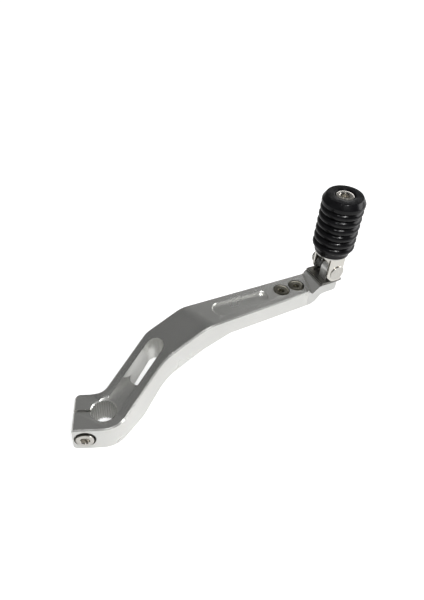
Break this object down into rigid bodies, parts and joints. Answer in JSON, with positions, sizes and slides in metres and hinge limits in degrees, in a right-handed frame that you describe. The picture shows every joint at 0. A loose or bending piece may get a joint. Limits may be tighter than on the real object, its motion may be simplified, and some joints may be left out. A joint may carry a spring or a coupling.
{
  "type": "motorcycle gear shift lever",
  "caption": "Motorcycle gear shift lever: cranked aluminium arm with a splined clamp boss, slotted inner leg, and a ribbed rubber toe peg that folds on a sprung pivot.",
  "frame": {"origin": "on the axis of the splined bore, in the inboard face of the clamp boss", "axes": "+X from the bore towards the toe peg, +Z along the bore and the peg, pointing outboard, +Y to complete the right-handed frame"},
  "size_m": [0.1721, 0.0343, 0.0873],
  "materials": {
    "arm_aluminium": "fine bead-blasted, clear anodised",
    "fastener_steel": "bright zinc-plated",
    "washer_steel": "bright zinc-plated",
    "bracket_aluminium": "machined, clear anodised",
    "plate_steel": "plain steel with machining lines",
    "clevis_chrome": "polished chrome",
    "pin_steel": "polished steel",
    "bush_bronze": "sintered bronze",
    "spring_steel": "oiled spring steel",
    "clip_steel": "black phosphated",
    "peg_rubber": "glossy black rubber"
  },
  "bodies": {
    "lever": {"lever_arm": "arm_aluminium", "clamp_bolt": "fastener_steel", "clamp_lock_washer": "washer_steel", "clamp_washer": "washer_steel", "tip_bracket": "bracket_aluminium", "tip_screws": "fastener_steel", "stop_plate": "plate_steel", "pivot_bush": "bush_bronze", "torsion_spring": "spring_steel"},
    "toe_peg": {"clevis": "clevis_chrome", "pivot_pin": "pin_steel", "pivot_washer": "washer_steel", "pivot_clip": "clip_steel", "peg_spindle": "fastener_steel", "peg_base_washer": "washer_steel", "rubber_sleeve": "peg_rubber", "end_washer": "washer_steel", "end_screw": "fastener_steel"}
  },
  "joints": [
    {"name": "tip_fold", "type": "hinge", "parent": "lever", "child": "toe_peg", "pos_m": [0.1428, 0, 0.0423], "axis": [-0.153, -0.9882, 0], "range_deg": [0, 70], "stiffness_Nm_per_rad": 0.15, "springref_deg": -34.38, "deforming": ["torsion_spring"]}
  ]
}
